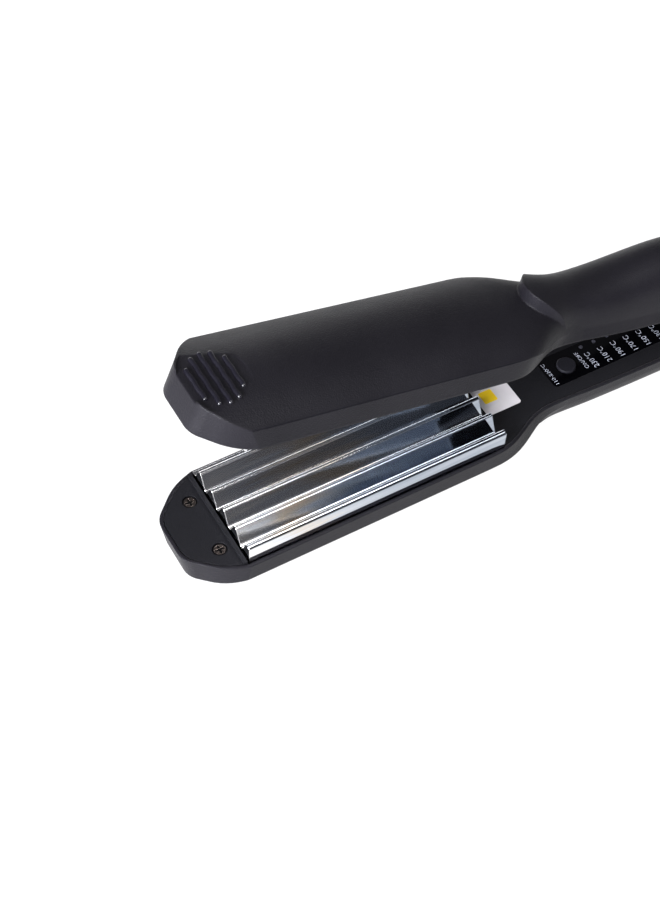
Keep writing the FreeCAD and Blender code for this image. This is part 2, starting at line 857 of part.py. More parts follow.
def make_plate_carrier(arm):
    body = new_body(arm + "_plate_carrier")
    length = size("plate_length")
    inset = size("carrier_inset")
    wall = size("carrier_wall")
    outer = head_half_width - inset
    window = rectangle(inset + wall, length - inset - wall, -outer + wall, outer - wall, 2)
    flange = [rectangle(0, length, -plate_half_width, plate_half_width), window]
    pad(body, "Flange", "XY_Plane", "Sizes.plate_base - Sizes.plate_stand + Sizes.groove_depth",
        flange, "Sizes.cover_thickness - Sizes.plate_base + Sizes.plate_stand"
        " - Sizes.groove_depth")
    frame = [rectangle(1, length - 1, -outer, outer, 4), window]
    pad(body, "Frame", "XY_Plane", "Sizes.cover_thickness", frame, "Sizes.carrier_depth")
    # Notch in the rear wall for the heater's leads
    notch = [rectangle(length - inset - wall - 3, length + 3, -4, 4, 1)]
    pocket(body, "LeadNotch", "XY_Plane", "Sizes.cover_thickness + Sizes.carrier_depth",
           notch, "Sizes.carrier_depth")
    keep(body, arm + "_plate_carrier", ARMS[arm])


def make_heater(arm):
    body = new_body(arm + "_heater")
    half = size("heater_length") / 2
    side = size("heater_width") / 2
    bar = rectangle(plate_middle - half, plate_middle + half, -side, side, 0.8)
    pad(body, "Bar", "XY_Plane", "Sizes.plate_base - Sizes.plate_stand + Sizes.groove_depth",
        [bar], "Sizes.heater_thickness")
    keep(body, arm + "_heater", ARMS[arm])


def make_heater_clip(arm):
    body = new_body(arm + "_heater_clip")
    flat = clip_half / 2
    thick = size("clip_thickness")
    tab = clip_half - size("clip_tab")
    lower_line = [(-clip_half, clip_end), (-tab, clip_end), (-flat, heater_top),
                  (flat, heater_top), (tab, clip_end), (clip_half, clip_end)]
    corners = [(plate_middle + x, z, 0) for x, z in lower_line]
    corners += [(plate_middle + x, z + thick, 0) for x, z in reversed(lower_line)]
    half_gap = 0.2
    width = size("rail_side") - half_gap
    pad(body, "Leaf", "XZ_Plane", "-Sizes.rail_side + %s" % half_gap, [corners],
        "2 * Sizes.rail_side - %s" % (2 * half_gap))
    tabs = [rectangle(low, high, -clip_tab_out, clip_tab_out, 0.5) for low, high in clip_tabs(0)]
    pad(body, "Tabs", "XY_Plane", "Sizes.plate_base - Sizes.plate_stand + Sizes.groove_depth"
        " + Sizes.heater_thickness + Sizes.clip_bow", tabs, "Sizes.clip_thickness")
    keep(body, arm + "_heater_clip", ARMS[arm])


def make_capsule(arm, name, x, y):
    """Small part with a rounded back that lies flat on the underside of the plate."""
    body = new_body("%s_%s" % (arm, name))
    half = size(name + "_width") / 2
    high = plate_bottom + size(name + "_height")
    corners = [(y - half, plate_bottom, 0), (y + half, plate_bottom, 0),
               (y + half, high, half * 0.9), (y - half, high, half * 0.9)]
    pad(body, "Capsule", "YZ_Plane", str(x), [corners], "Sizes.%s_length" % name)
    keep(body, "%s_%s" % (arm, name), ARMS[arm])


# Covers and their screws


def countersunk_cover(plate, spots):
    """A cover with sunk screw holes."""
    gap = size("screw_gap")
    sunk = size("screw_sink") + size("screw_head_height")
    for x, y in spots:
        plate = plate.cut(upright(size("screw_head_radius") + gap, x, y, -2, sunk))
        plate = plate.cut(upright(size("screw_shank_radius") + gap, x, y, -2, 5))
    return plate


def make_nose_cover(arm):
    inset = size("rim_width") + size("cover_gap")
    ahead = -size("nose_length") - BEYOND_NOSE
    back = -size("plate_end_gap")
    plate = outline_prism(arm, inset, 0, size("cover_thickness"), ahead, back)
    lip = outline_prism(arm, inset, -size("nose_lip_height"), 1, back - size("nose_lip_width"),
                        back)
    cover = countersunk_cover(plate.fuse(lip), nose_screw_spots())
    keep_shape(one_solid(cover), arm + "_nose_cover", ARMS[arm])


def make_screws(name, spots, placement):
    """Cross-head screws that stand in their cover's sunk holes."""
    body = new_body(name)
    heads = [(x, y, size("screw_head_radius")) for x, y in spots]
    shanks = [(x, y, size("screw_shank_radius")) for x, y in spots]
    pad(body, "Heads", "XY_Plane", "Sizes.screw_sink", heads, "Sizes.screw_head_height")
    pad(body, "Shanks", "XY_Plane", "Sizes.screw_sink + Sizes.screw_head_height", shanks,
        "Sizes.screw_length")
    long = size("cross_length") / 2
    thin = size("cross_width") / 2
    crosses = []
    for x, y in spots:
        crosses.append([(x - long, y - thin, 0), (x - thin, y - thin, 0), (x - thin, y - long, 0),
                        (x + thin, y - long, 0), (x + thin, y - thin, 0), (x + long, y - thin, 0),
                        (x + long, y + thin, 0), (x + thin, y + thin, 0), (x + thin, y + long, 0),
                        (x - thin, y + long, 0), (x - thin, y + thin, 0), (x - long, y + thin, 0)])
    # A pocket cuts down from its plane, so this one starts at the foot of the cross
    pocket(body, "Crosses", "XY_Plane", "Sizes.screw_sink + Sizes.cross_depth", crosses,
           "Sizes.cross_depth")
    keep(body, name, placement)


def panel_loop(gap):
    """Outline of the control panel, wider by a gap for the pocket that it lies in."""
    front = panel_front - gap
    back = panel_front + size("panel_length") + gap
    half = size("panel_half_width") + gap
    return rectangle(front, back, -half, half, size("panel_corner"))


def light_spots():
    back = light_back
    return [(back + step * size("light_pitch"), -size("light_side"))
            for step in range(int(size("light_count")))]


def post_spots():
    front = board_front + size("post_inset")
    back = board_front + size("board_length") - size("post_inset")
    side = size("post_side")
    return [(front, -side), (front, side), (back, -side), (back, side)]


def make_inner_cover(arm):
    inset = size("rim_width") + size("cover_gap")
    thick = size("cover_thickness")
    front = size("plate_length") + size("plate_end_gap")
    back = shell_end - size("shell_wall") - size("cover_gap")
    plate = outline_prism(arm, inset, 0, thick, front, back)
    cover = countersunk_cover(plate, cover_screw_spots())
    if arm == "lower":
        seat = Part.Face(rounded_wire(panel_loop(size("light_gap")), -1))
        cover = cover.cut(seat.extrude(Vector(0, 0, 1 + size("panel_thickness"))))
        reach = size("button_radius") + size("button_gap")
        cover = cover.cut(upright(reach, button_back, 0, -1, thick + 1))
        for x, y in light_spots():
            reach = size("light_radius") + size("light_gap")
            cover = cover.cut(upright(reach, x, y, -1, thick + 1))
        for x, y in post_spots():
            top = size("board_depth") + size("board_thickness") + size("post_pin_rise")
            cover = cover.fuse(upright(size("post_radius"), x, y, thick - 0.5, size("board_depth")))
            cover = cover.fuse(upright(size("post_pin_radius"), x, y, thick, top))
    keep_shape(one_solid(cover), arm + "_inner_cover", ARMS[arm])


# Control panel, button, lights and electronics of the lower arm


def make_control_panel():
    body = new_body("control_panel")
    loops = [panel_loop(0), (button_back, 0, size("button_radius") + size("button_gap"))]
    loops += [(x, y, size("light_radius") + size("light_gap")) for x, y in light_spots()]
    pad(body, "Panel", "XY_Plane", "0", loops, "Sizes.panel_thickness")
    keep(body, "control_panel", lower_arm)


def make_power_button():
    body = new_body("power_button")
    radius = size("button_radius")
    wide = radius + size("button_flange")
    top = -size("button_rise")
    seat = size("cover_thickness") + size("light_gap")
    foot = seat + size("button_flange")
    edge = size("button_edge")
    profile = [(0, top, 0), (radius - edge, top, 0), (radius, top + edge, 0), (radius, seat, 0), (wide, seat, 0),
               (wide, foot, 0), (0, foot, 0)]
    revolve(body, "Button", "XZ_Plane", (button_back, 0), profile, "V_Axis")
    keep(body, "power_button", lower_arm)


def make_temperature_lights():
    body = new_body("temperature_lights")
    rods = [(x, y, size("light_radius")) for x, y in light_spots()]
    pad(body, "Rods", "XY_Plane", "0", rods,
        "Sizes.board_depth - Sizes.lamp_height - Sizes.light_gap")
    keep(body, "temperature_lights", lower_arm)


def make_lamp_chips():
    body = new_body("lamp_chips")
    half = size("lamp_side") / 2
    chips = [rectangle(x - half, x + half, y - half, y + half) for x, y in light_spots()]
    pad(body, "Chips", "XY_Plane", "Sizes.board_depth - Sizes.lamp_height", chips,
        "Sizes.lamp_height")
    keep(body, "lamp_chips", lower_arm)


def make_circuit_board():
    body = new_body("circuit_board")
    front = board_front
    half = size("board_half_width")
    hole = size("post_pin_radius") + size("light_gap")
    loops = [rectangle(front, front + size("board_length"), -half, half, 1)]
    loops += [(x, y, hole) for x, y in post_spots()]
    pad(body, "Board", "XY_Plane", "Sizes.board_depth", loops, "Sizes.board_thickness")
    keep(body, "circuit_board", lower_arm)


def make_push_switch():
    body = new_body("push_switch")
    x = button_back
    half = size("switch_side") / 2
    pad(body, "Case", "XY_Plane", "Sizes.board_depth - Sizes.switch_height",
        [rectangle(x - half, x + half, -half, half, 0.4)], "Sizes.switch_height")
    pad(body, "Plunger", "XY_Plane",
        "Sizes.board_depth - Sizes.switch_height - Sizes.switch_plunger_height",
        [(x, 0, size("switch_plunger_radius"))], "Sizes.switch_plunger_height")
    keep(body, "push_switch", lower_arm)


def make_board_block(name, alias, x, y):
    """Box-shaped electronic part on the board's face."""
    body = new_body(name)
    length = size(alias + "_length")
    width = size(alias + "_width")
    pad(body, "Case", "XY_Plane", "Sizes.board_depth - Sizes.%s_height" % alias,
        [rectangle(x, x + length, y, y + width, 0.5)], "Sizes.%s_height" % alias)
    keep(body, name, lower_arm)


def make_blank_label():
    body = new_body("blank_label")
    front = label_front
    half = size("label_width") / 2
    loop = rectangle(front, front + size("label_length"), -half, half, 1.2)
    pad(body, "Sheet", "XY_Plane", "-Sizes.label_thickness", [loop], "Sizes.label_thickness")
    keep(body, "blank_label", lower_arm)


# Hinge

at_hinge = Placement(hinge_point, Rotation())


def make_hinge_bracket():
    back = hinge_back
    pin = -size("hinge_height")
    hub = size("hub_radius")
    base = handle_skin("lower", shell_end, bracket_end, 4)
    base = base.common(block(shell_end, bracket_end, -30, 30, 0, lower_depth))
    shape = base
    front = back - hub
    for low, high in ((-ear_outside, -ear_inside), (ear_inside, ear_outside)):
        ear = block(front, bracket_end, low, high, pin, 1)
        shape = shape.fuse(ear.fuse(crosswise(hub, back, pin, low, high)))
    # The stop between the ears that the upper arm's heel comes down on
    stop_top = pin + size("stop_height")
    shape = shape.fuse(block(back + size("heel_front"), bracket_end, -ear_inside - 0.5,
                             ear_inside + 0.5, stop_top, 1))
    wide = size("handle_half_width") + size("cuff_step")
    corner = size("bracket_corner")
    plan = [(shell_end - 20, -wide - 1, 0), (bracket_end, -wide, corner),
            (bracket_end, wide, corner), (shell_end - 20, wide + 1, 0)]
    plan_face = Part.Face(rounded_wire(plan, pin - hub - 1))
    shape = shape.common(plan_face.extrude(Vector(0, 0, hub + 1 - pin + lower_depth)))
    shape = shape.fuse(spigot_form(size("spigot_gap")))
    shape = shape.cut(crosswise(pin_hole, back, pin, -20, 20))
    recess = ear_outside - size("cap_thickness")
    for low, high in ((-20, -recess), (recess, 20)):
        shape = shape.cut(crosswise(size("cap_radius") + size("cap_gap"), back, pin, low, high))
    # The spring's pocket, and a slot below it for the end that stays with the bracket
    at_pin = Vector(back, 0, pin)
    deep = -ear_inside - size("spring_pocket")
    shape = shape.cut(spring_ring(deep, -ear_inside + 0.1).translated(at_pin))
    shape = shape.cut(tang_slot(deep, -ear_inside + 0.1, 90).translated(at_pin))
    # Room for the leads, and a stepped hole for the cord inlet
    depth = size("inlet_depth")
    wall = bracket_end - size("inlet_wall")
    room = size("swivel_flange") + size("flange_gap")
    shape = shape.cut(lengthwise(room, depth, shell_end + 1, wall))
    neck = size("swivel_radius") + size("swivel_clearance")
    shape = shape.cut(lengthwise(neck, depth, wall - 1, bracket_end + 1))
    channel = size("lead_channel") / 2
    shape = shape.cut(block(shell_end - 20, shell_end + 4, -channel, channel, 4, 12))
    for x, y in cover_screw_spots():
        shape = shape.cut(screw_hole(x, y, 0, size("cover_thickness") + size("screw_length")))
    keep_shape(one_solid(shape), "hinge_bracket", lower_arm)


def make_hinge_pin():
    body = new_body("hinge_pin")
    half = ear_outside - size("cap_thickness") - size("cap_gap")
    radius = size("pin_radius")
    chamfer = 0.4
    profile = [(-half, 0, 0), (half, 0, 0), (half, radius - chamfer, 0),
               (half - chamfer, radius, 0), (chamfer - half, radius, 0),
               (-half, radius - chamfer, 0)]
    revolve(body, "Pin", "YZ_Plane", (0, 0), profile, "H_Axis")
    keep(body, "hinge_pin", at_hinge)


def make_hinge_caps():
    body = new_body("hinge_caps")
    disc = [(0, 0, size("cap_radius"))]
    # A pad on this plane runs towards -y
    pad(body, "FarCap", "XZ_Plane", "Sizes.ear_inset - Sizes.handle_half_width", disc,
        "Sizes.cap_thickness")
    pad(body, "NearCap", "XZ_Plane",
        "Sizes.handle_half_width - Sizes.ear_inset - Sizes.cap_thickness", disc,
        "Sizes.cap_thickness")
    keep(body, "hinge_caps", at_hinge)


def make_hinge_washer():
    body = new_body("hinge_washer")
    ring = [(0, 0, size("washer_radius")), (0, 0, pin_hole)]
    pad(body, "Washer", "XZ_Plane", "Sizes.handle_half_width - Sizes.ear_inset"
        " - Sizes.ear_thickness - Sizes.tongue_gap / 2 - Sizes.washer_thickness / 2", ring,
        "Sizes.washer_thickness")
    keep(body, "hinge_washer", at_hinge)


def make_hinge_spring():
    """Coil round the pin, with an end ahead in the upper arm's tongue and one in the bracket."""
    wire = size("spring_wire")
    radius = size("spring_radius")
    low = tongue_half_width - size("spring_pocket") + wire / 2 + 0.1
    high = ear_inside + size("spring_pocket") - wire / 2 - 0.1
    turns = size("spring_turns")
    pitch = (high - low) / turns
    helix = Part.makeHelix(pitch, high - low, radius)
    square = wire / 2
    corners = [Vector(radius + a * square, 0, b * square)
               for a, b in ((-1, -1), (1, -1), (1, 1), (-1, 1))]
    profile = Part.makePolygon(corners + corners[:1])
    coil = Part.Wire(helix).makePipeShell([profile], True, True)
    end_turn = 360 * turns
    tangs = []
    for height, turn in ((0, 0), (high - low, end_turn)):
        tang = block(radius, size("tang_reach") - 0.4, -square, square, -square, square)
        tang.translate(Vector(0, 0, height))
        tang.rotate(Vector(0, 0, 0), Vector(0, 0, 1), turn)
        tangs.append(tang)
    spring = coil.fuse(tangs[0]).fuse(tangs[1])
    # Lay the coil's axis along +y, with its first end straight ahead
    spring.rotate(Vector(0, 0, 0), Vector(0, 0, 1), 180)
    spring.rotate(Vector(0, 0, 0), Vector(1, 0, 0), -90)
    spring.translate(Vector(0, low, 0))
    spring = one_solid(spring)
    keep_shape(spring, "hinge_spring", at_hinge * spring.Placement)


# Cord inlet

at_inlet = lower_arm * Placement(Vector(bracket_end, 0, size("inlet_depth")), Rotation())


def make_cord_swivel():
    body = new_body("cord_swivel")
    bore = size("swivel_bore")
    neck = size("swivel_radius")
    flange = size("swivel_flange")
    collar = size("swivel_collar")
    reach = size("swivel_reach")
    wall = -size("inlet_wall") - size("light_gap")
    front = wall - size("swivel_flange_width")
    out = size("collar_gap")
    profile = [(front, bore, 0), (reach, bore, 0), (reach, neck, 0), (reach / 2, neck, 0),
               (reach / 3, collar, 0), (out, collar, 0), (out, neck, 0), (wall, neck, 0),
               (wall, flange, 0), (front, flange, 0)]
    revolve(body, "Swivel", "XZ_Plane", (0, 0), profile, "H_Axis")
    keep(body, "cord_swivel", at_inlet)


def make_swivel_keeper():
    body = new_body("swivel_keeper")
    gap = size("light_gap")
    back = -size("inlet_wall") - size("swivel_flange_width") - 3 * gap
    front = back - size("keeper_width")
    outer = size("swivel_flange") + size("flange_gap") - size("pin_clearance")
    inner = size("swivel_radius") - 0.4
    profile = [(front, inner, 0), (back, inner, 0), (back, outer, 0), (front, outer, 0)]
    revolve(body, "Ring", "XZ_Plane", (0, 0), profile, "H_Axis")
    keep(body, "swivel_keeper", at_inlet)


make_lower_shell()
make_upper_shell()
for arm_name in ("lower", "upper"):
    make_heating_plate(arm_name)
    make_plate_carrier(arm_name)
    make_heater(arm_name)
    make_heater_clip(arm_name)
    make_capsule(arm_name, "sensor", size("plate_length") * 0.3, size("sensor_side"))
    make_capsule(arm_name, "cutout", size("plate_length") * 0.6, -size("sensor_side"))
    make_nose_cover(arm_name)
    make_screws(arm_name + "_nose_screws", nose_screw_spots(), ARMS[arm_name])
    make_inner_cover(arm_name)
    make_screws(arm_name + "_cover_screws", cover_screw_spots(), ARMS[arm_name])
make_control_panel()
make_power_button()
make_temperature_lights()
make_lamp_chips()
make_circuit_board()
make_push_switch()
make_board_block("power_chip", "triac", board_front + 19, 1.5)
make_board_block("filter_capacitor", "capacitor", board_front + 36, 1.0)
make_blank_label()
make_hinge_bracket()
make_hinge_pin()
make_hinge_caps()
make_hinge_washer()
make_hinge_spring()
make_cord_swivel()
make_swivel_keeper()

doc.recompute()
for thing in doc.Objects:
    if "Invalid" in thing.State or "Error" in thing.State:
        raise ValueError("%s did not build: %s" % (thing.Label, thing.State))
for thing in sub_parts:
    shape = thing.Shape
    if shape.isNull() or not shape.isValid():
        raise ValueError("%s is not a valid shape" % thing.Label)
for thing in sub_parts:
    thing.Shape.exportStep("parts/%s.step" % thing.Label)
    print(thing.Label, len(thing.Shape.Solids), round(thing.Shape.Volume, 1))
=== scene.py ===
import json
import math

import bpy
from mathutils import Matrix, Vector


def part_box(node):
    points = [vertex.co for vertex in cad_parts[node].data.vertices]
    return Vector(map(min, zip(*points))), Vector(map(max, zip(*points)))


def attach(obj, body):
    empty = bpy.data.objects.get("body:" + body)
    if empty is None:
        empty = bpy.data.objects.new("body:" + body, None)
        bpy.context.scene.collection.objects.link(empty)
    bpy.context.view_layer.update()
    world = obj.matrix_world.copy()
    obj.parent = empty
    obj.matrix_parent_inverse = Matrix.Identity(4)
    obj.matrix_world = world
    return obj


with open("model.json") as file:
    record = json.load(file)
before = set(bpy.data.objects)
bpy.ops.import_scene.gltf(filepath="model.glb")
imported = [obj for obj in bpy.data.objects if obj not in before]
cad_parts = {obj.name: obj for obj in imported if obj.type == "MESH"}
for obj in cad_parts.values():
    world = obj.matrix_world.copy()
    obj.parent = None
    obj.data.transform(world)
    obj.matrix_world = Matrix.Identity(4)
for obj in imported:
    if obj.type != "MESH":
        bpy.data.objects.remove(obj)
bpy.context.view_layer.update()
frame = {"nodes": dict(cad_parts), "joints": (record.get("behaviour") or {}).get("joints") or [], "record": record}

MM = 0.001

# Places taken from the model, in millimetres and degrees
arm_hinge = next(joint for joint in frame["joints"] if joint["name"] == "arm_hinge")
HINGE_X = arm_hinge["pos_m"][0] / MM
HINGE_Z = arm_hinge["pos_m"][2] / MM
OPEN_ANGLE = arm_hinge["range_deg"][1]
PLATE_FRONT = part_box("lower_heating_plate")[0][0] / MM
LOWER_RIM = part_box("lower_shell")[1][2] / MM

# Height of the upper arm's rim with the arms closed
UPPER_RIM = 25.1

# Thumb rest of the upper arm, measured from the plate's front and from the rim
THUMB_REST_MIDDLE = -6.5
THUMB_REST_HEIGHT = 11.7
THUMB_REST_SLOPE = 8.3
RIB_COUNT = 5
RIB_PITCH = 3.4

# Oval that the ribs' ends follow, half its width and half its length
RIB_HALF_SPAN = 11.8
RIB_REACH = 8.6

# Screws, lights and the temperatures beside them
SCREW_HEAD_RADIUS = 2.6
CROSS_LENGTH = 3.4
CROSS_WIDTH = 0.8
LIGHT_COUNT = 7
LIGHT_RADIUS = 0.8
HOTTEST = 230
COOLEST = 110

# Height of printing over what it is printed on
PRINT_LIFT = 0.02

# Camera, from the photograph's perspective
CAMERA_PLACE = (-267.89, -312.65, 503.99)
CAMERA_AIM = (-79.92, -9.11, 40.0)
CAMERA_ROLL = 2.545
LENS = 67.36


def add_camera():
    """Camera at the photograph's place, with its view."""
    data = bpy.data.cameras.new("camera")
    data.sensor_fit = "VERTICAL"
    data.sensor_height = 36.0
    data.lens = LENS
    data.clip_start = 0.01
    camera = bpy.data.objects.new("camera", data)
    back = Vector(CAMERA_PLACE) - Vector(CAMERA_AIM)
    turn = back.to_track_quat("Z", "Y").to_matrix().to_4x4()
    roll = Matrix.Rotation(math.radians(CAMERA_ROLL), 4, "Z")
    camera.matrix_world = Matrix.Translation(Vector(CAMERA_PLACE) * MM) @ turn @ roll
    bpy.context.collection.objects.link(camera)
    bpy.context.scene.camera = camera


# Node materials


class Nodes:
    """Node tree of a material or world, with short calls to add and join nodes."""

    def __init__(self, owner, output):
        owner.use_nodes = True
        self.owner = owner
        self.tree = owner.node_tree
        self.tree.nodes.clear()
        self.output = self.add(output)

    def add(self, kind, **settings):
        node = self.tree.nodes.new(kind)
        for key, value in settings.items():
            setattr(node, key, value)
        return node

    def join(self, source, target):
        self.tree.links.new(source, target)

    def place(self, kind="Object"):
        """Coordinates fixed to the object, in metres, or of another kind."""
        return self.add("ShaderNodeTexCoord").outputs[kind]

    def split(self, place, axis):
        """One of the three numbers of a place."""
        split = self.add("ShaderNodeSeparateXYZ")
        self.join(place, split.inputs["Vector"])
        return split.outputs[axis]

    def noise(self, scale, detail=3.0, roughness=0.5, stretch=(1, 1, 1)):
        mapping = self.add("ShaderNodeMapping")
        mapping.inputs["Scale"].default_value = stretch
        self.join(self.place(), mapping.inputs["Vector"])
        noise = self.add("ShaderNodeTexNoise")
        noise.inputs["Scale"].default_value = scale
        noise.inputs["Detail"].default_value = detail
        noise.inputs["Roughness"].default_value = roughness
        self.join(mapping.outputs["Vector"], noise.inputs["Vector"])
        return noise.outputs["Fac"]

    def blend(self, first, second, share):
        """A number between two others, with this share of the second."""
        blend = self.add("ShaderNodeMix")
        blend.inputs["Factor"].default_value = share
        self.join(first, blend.inputs["A"])
        self.join(second, blend.inputs["B"])
        return blend.outputs["Result"]

    def ramp(self, factor, stops):
        """Colours at places from 0 to 1 along a factor."""
        ramp = self.add("ShaderNodeValToRGB")
        elements = ramp.color_ramp.elements
        while len(elements) < len(stops):
            elements.new(0.5)
        for element, (place, colour) in zip(elements, stops):
            element.position = place
            element.color = (*colour, 1)
        self.join(factor, ramp.inputs["Fac"])
        return ramp.outputs["Color"]

    def spread(self, factor, low, high, start=0.0, end=1.0):
        """A number between low and high as the factor goes from start to end."""
        spread = self.add("ShaderNodeMapRange")
        spread.inputs["From Min"].default_value = start
        spread.inputs["From Max"].default_value = end
        spread.inputs["To Min"].default_value = low
        spread.inputs["To Max"].default_value = high
        self.join(factor, spread.inputs["Value"])
        return spread.outputs["Result"]

    def larger(self, first, second):
        """The larger of two numbers."""
        larger = self.add("ShaderNodeMath", operation="MAXIMUM")
        self.join(first, larger.inputs[0])
        self.join(second, larger.inputs[1])
        return larger.outputs[0]

    def bump(self, height, strength, distance, edge=0.0):
        """Normal that follows a height, over edges rounded by a radius."""
        bump = self.add("ShaderNodeBump")
        bump.inputs["Strength"].default_value = strength
        bump.inputs["Distance"].default_value = distance
        self.join(height, bump.inputs["Height"])
        if edge:
            rounding = self.add("ShaderNodeBevel", samples=6)
            rounding.inputs["Radius"].default_value = edge
            self.join(rounding.outputs["Normal"], bump.inputs["Normal"])
        return bump.outputs["Normal"]

    def finish(self, surface):
        """The material or world, with this surface."""
        self.join(surface, self.output.inputs["Surface"])
        return self.owner

    def shader(self, **sockets):
        """Material of one principled shader: a socket takes a plain value or an output."""
        shader = self.add("ShaderNodeBsdfPrincipled")
        for key, value in sockets.items():
            socket = shader.inputs[key.replace("_", " ")]
            if isinstance(value, bpy.types.NodeSocket):
                self.join(value, socket)
            else:
                socket.default_value = value
        return self.finish(shader.outputs["BSDF"])


def material_nodes(name):
    """Empty node tree of a new material."""
    return Nodes(bpy.data.materials.new(name), "ShaderNodeOutputMaterial")


def linear(red, green, blue):
    """Linear colour from the numbers 0 to 255 of a screen colour."""
    shares = (red / 255, green / 255, blue / 255)
    return tuple(s / 12.92 if s <= 0.04045 else ((s + 0.055) / 1.055) ** 2.4 for s in shares)


def plastic(name, dark, light, rough, grain=0.6, shine=0.12, edge=0.0):
    """Moulded plastic with a fine grain, a cloudy gloss and edges rounded to a radius.

    Dark and light are screen colours, and rough is the least and the most roughness.
    """
    nodes = material_nodes(name)
    fine = nodes.noise(2000, 1)
    cloud = nodes.blend(nodes.noise(35, 4), fine, 0.4)
    colour = nodes.ramp(cloud, [(0.3, linear(*dark)), (0.75, linear(*light))])
    gloss = nodes.spread(nodes.noise(90, 5), *rough)
    normal = nodes.bump(fine, grain, 0.2 * MM, edge)
    return nodes.shader(Base_Color=colour, Roughness=gloss, Normal=normal,
                        Specular_IOR_Level=shine)


def polished_metal(name, dark, light, rough, edge=0.0):
    """Polished metal with light smears and edges rounded to a radius.

    Dark and light are linear colours, and rough is the least and the most roughness.
    """
    nodes = material_nodes(name)
    colour = nodes.ramp(nodes.noise(60, 4), [(0.35, dark), (0.7, light)])
    gloss = nodes.spread(nodes.noise(120, 6, 0.6), *rough)
    normal = nodes.bump(nodes.noise(900, 2), 0.1, 0.02 * MM, edge)
    return nodes.shader(Base_Color=colour, Metallic=1.0, Roughness=gloss, Normal=normal)


def mirror_plate():
    """Mirror-polished plate, streaked lengthwise and a little wavy; painted light makes its front lighter."""
    nodes = material_nodes("mirror_plate")
    # The streaks are the polish's own random tone; painted light lifts the colour towards white over this length
    # to the front
    front_light_length = 70
    painted_front_light = nodes.spread(nodes.split(nodes.place(), "X"), 0, 1,
                         (PLATE_FRONT + front_light_length) * MM, PLATE_FRONT * MM)
    streaks = nodes.noise(130, 3, 0.55, (0.06, 1, 1))
    blue_grey = (0.35, 0.39, 0.45)
    steel_grey = (0.55, 0.58, 0.63)
    warm = (0.7, 0.65, 0.59)
    silver = (0.74, 0.76, 0.8)
    white = (0.92, 0.91, 0.9)
    colour = nodes.ramp(nodes.blend(streaks, painted_front_light, 0.3),
                        [(0.25, blue_grey), (0.4, steel_grey), (0.48, warm), (0.56, silver),
                         (0.66, white)])
    gloss = nodes.spread(streaks, 0.04, 0.1)
    normal = nodes.bump(nodes.noise(45, 1, 0.4, (0.25, 1, 1)), 0.5, 0.8 * MM, 0.4 * MM)
    return nodes.shader(Base_Color=colour, Metallic=1.0, Roughness=gloss, Normal=normal)


def glossy_panel():
    """Gloss black plastic with a few soft smears."""
    nodes = material_nodes("gloss_black")
    smear = nodes.noise(45, 5, 0.6)
    colour = nodes.ramp(smear, [(0.3, linear(1, 1, 2)), (0.8, linear(4, 4, 6))])
    gloss = nodes.spread(smear, 0.06, 0.16)
    return nodes.shader(Base_Color=colour, Roughness=gloss, Specular_IOR_Level=0.25,
                        Coat_Weight=0.1, Coat_Roughness=0.05)


def printed_film(name, dark, light):
    """Smooth printed film with a faint unevenness, between two screen colours."""
    nodes = material_nodes(name)
    colour = nodes.ramp(nodes.noise(150, 3), [(0.3, linear(*dark)), (0.7, linear(*light))])
    normal = nodes.bump(nodes.noise(700, 2), 0.1, 0.03 * MM)
    return nodes.shader(Base_Color=colour, Roughness=0.32, Normal=normal)


